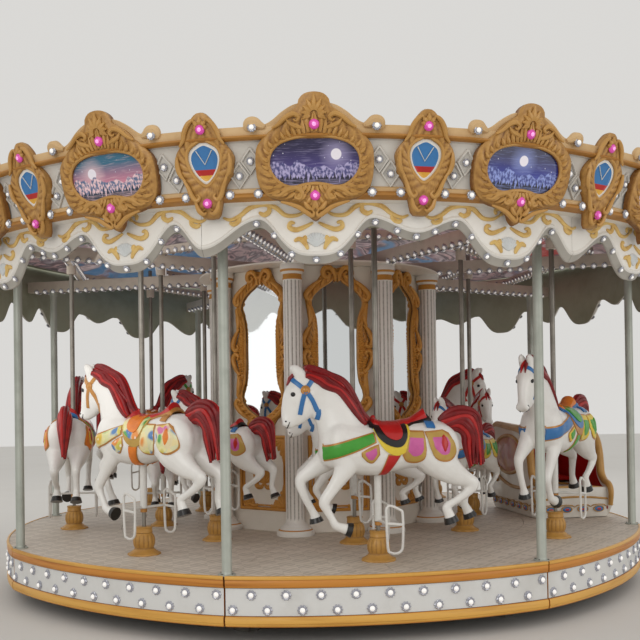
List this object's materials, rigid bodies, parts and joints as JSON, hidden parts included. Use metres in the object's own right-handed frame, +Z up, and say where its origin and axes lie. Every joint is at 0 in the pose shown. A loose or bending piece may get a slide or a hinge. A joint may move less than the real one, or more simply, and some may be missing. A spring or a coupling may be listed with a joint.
{
  "type": "fairground carousel",
  "caption": "Small fairground carousel: a turning platform with a round scalloped canopy, a mirrored centre tower, galloping horses on poles and a chariot.",
  "frame": {"origin": "on the ground below the middle of the carousel", "axes": "+Z up, -Y through the middle of the front panel, +X through the panel with the chariot"},
  "size_m": [6.469, 6.469, 3.56],
  "materials": {
    "frame_steel": "grey painted steel",
    "tread_plate": "worn aluminium tread plate",
    "beam_paint": "satin grey paint",
    "cream_paint": "satin cream paint",
    "roof_canvas": "coated canvas",
    "chariot_shell": "glossy painted laminate",
    "rim_paint": "gold and white paint",
    "post_steel": "brushed",
    "crown_shell": "satin painted laminate",
    "horse_shell": "glossy painted laminate"
  },
  "bodies": {
    "base": {"base_frame": "frame_steel", "pedestal": "frame_steel"},
    "platform": {"deck_frame": "frame_steel", "deck": "tread_plate", "outer_ring_beam": "beam_paint", "inner_ring_beam": "beam_paint", "mast": "frame_steel", "tower_walls": "cream_paint", "tower_columns": "cream_paint", "roof_cover": "roof_canvas", "chariot": "chariot_shell", "rim_1": "rim_paint", "rim_2": "rim_paint", "rim_3": "rim_paint", "rim_4": "rim_paint", "rim_5": "rim_paint", "rim_6": "rim_paint", "rim_7": "rim_paint", "rim_8": "rim_paint", "post_1": "post_steel", "post_2": "post_steel", "post_3": "post_steel", "post_4": "post_steel", "post_5": "post_steel", "post_6": "post_steel", "post_7": "post_steel", "post_8": "post_steel", "radial_beam_1": "beam_paint", "radial_beam_2": "beam_paint", "radial_beam_3": "beam_paint", "radial_beam_4": "beam_paint", "radial_beam_5": "beam_paint", "radial_beam_6": "beam_paint", "radial_beam_7": "beam_paint", "radial_beam_8": "beam_paint", "crown_1": "crown_shell", "crown_2": "crown_shell", "crown_3": "crown_shell", "crown_4": "crown_shell", "crown_5": "crown_shell", "crown_6": "crown_shell", "crown_7": "crown_shell", "crown_8": "crown_shell"},
    "outer_horse_1": {"outer_horse_1": "horse_shell"},
    "outer_horse_2": {"outer_horse_2": "horse_shell"},
    "outer_horse_3": {"outer_horse_3": "horse_shell"},
    "outer_horse_4": {"outer_horse_4": "horse_shell"},
    "outer_horse_5": {"outer_horse_5": "horse_shell"},
    "outer_horse_6": {"outer_horse_6": "horse_shell"},
    "outer_horse_7": {"outer_horse_7": "horse_shell"},
    "inner_horse_1": {"inner_horse_1": "horse_shell"},
    "inner_horse_2": {"inner_horse_2": "horse_shell"},
    "inner_horse_3": {"inner_horse_3": "horse_shell"},
    "inner_horse_4": {"inner_horse_4": "horse_shell"},
    "inner_horse_5": {"inner_horse_5": "horse_shell"},
    "inner_horse_6": {"inner_horse_6": "horse_shell"},
    "inner_horse_7": {"inner_horse_7": "horse_shell"},
    "inner_horse_8": {"inner_horse_8": "horse_shell"}
  },
  "joints": [
    {"name": "platform_turn", "type": "hinge", "parent": "base", "child": "platform", "pos_m": [0, 0, 0.3], "axis": [0, 0, -1], "continuous": true},
    {"name": "outer_horse_1_rise", "type": "slide", "parent": "platform", "child": "outer_horse_1", "axis": [0, 0, 1], "range_m": [0, 0.2]},
    {"name": "outer_horse_2_rise", "type": "slide", "parent": "platform", "child": "outer_horse_2", "axis": [0, 0, 1], "range_m": [-0.078, 0.122]},
    {"name": "outer_horse_3_rise", "type": "slide", "parent": "platform", "child": "outer_horse_3", "axis": [0, 0, 1], "range_m": [-0.12, 0.08]},
    {"name": "outer_horse_4_rise", "type": "slide", "parent": "platform", "child": "outer_horse_4", "axis": [0, 0, 1], "range_m": [-0.16, 0.04]},
    {"name": "outer_horse_5_rise", "type": "slide", "parent": "platform", "child": "outer_horse_5", "axis": [0, 0, 1], "range_m": [-0.1, 0.1]},
    {"name": "outer_horse_6_rise", "type": "slide", "parent": "platform", "child": "outer_horse_6", "axis": [0, 0, 1], "range_m": [-0.04, 0.16]},
    {"name": "outer_horse_7_rise", "type": "slide", "parent": "platform", "child": "outer_horse_7", "axis": [0, 0, 1], "range_m": [-0.065, 0.135]},
    {"name": "inner_horse_1_rise", "type": "slide", "parent": "platform", "child": "inner_horse_1", "axis": [0, 0, 1], "range_m": [-0.097, 0.103]},
    {"name": "inner_horse_2_rise", "type": "slide", "parent": "platform", "child": "inner_horse_2", "axis": [0, 0, 1], "range_m": [-0.06, 0.14]},
    {"name": "inner_horse_3_rise", "type": "slide", "parent": "platform", "child": "inner_horse_3", "axis": [0, 0, 1], "range_m": [-0.14, 0.06]},
    {"name": "inner_horse_4_rise", "type": "slide", "parent": "platform", "child": "inner_horse_4", "axis": [0, 0, 1], "range_m": [-0.03, 0.17]},
    {"name": "inner_horse_5_rise", "type": "slide", "parent": "platform", "child": "inner_horse_5", "axis": [0, 0, 1], "range_m": [-0.18, 0.02]},
    {"name": "inner_horse_6_rise", "type": "slide", "parent": "platform", "child": "inner_horse_6", "axis": [0, 0, 1], "range_m": [-0.11, 0.09]},
    {"name": "inner_horse_7_rise", "type": "slide", "parent": "platform", "child": "inner_horse_7", "axis": [0, 0, 1], "range_m": [-0.02, 0.18]},
    {"name": "inner_horse_8_rise", "type": "slide", "parent": "platform", "child": "inner_horse_8", "axis": [0, 0, 1], "range_m": [-0.15, 0.05]}
  ]
}
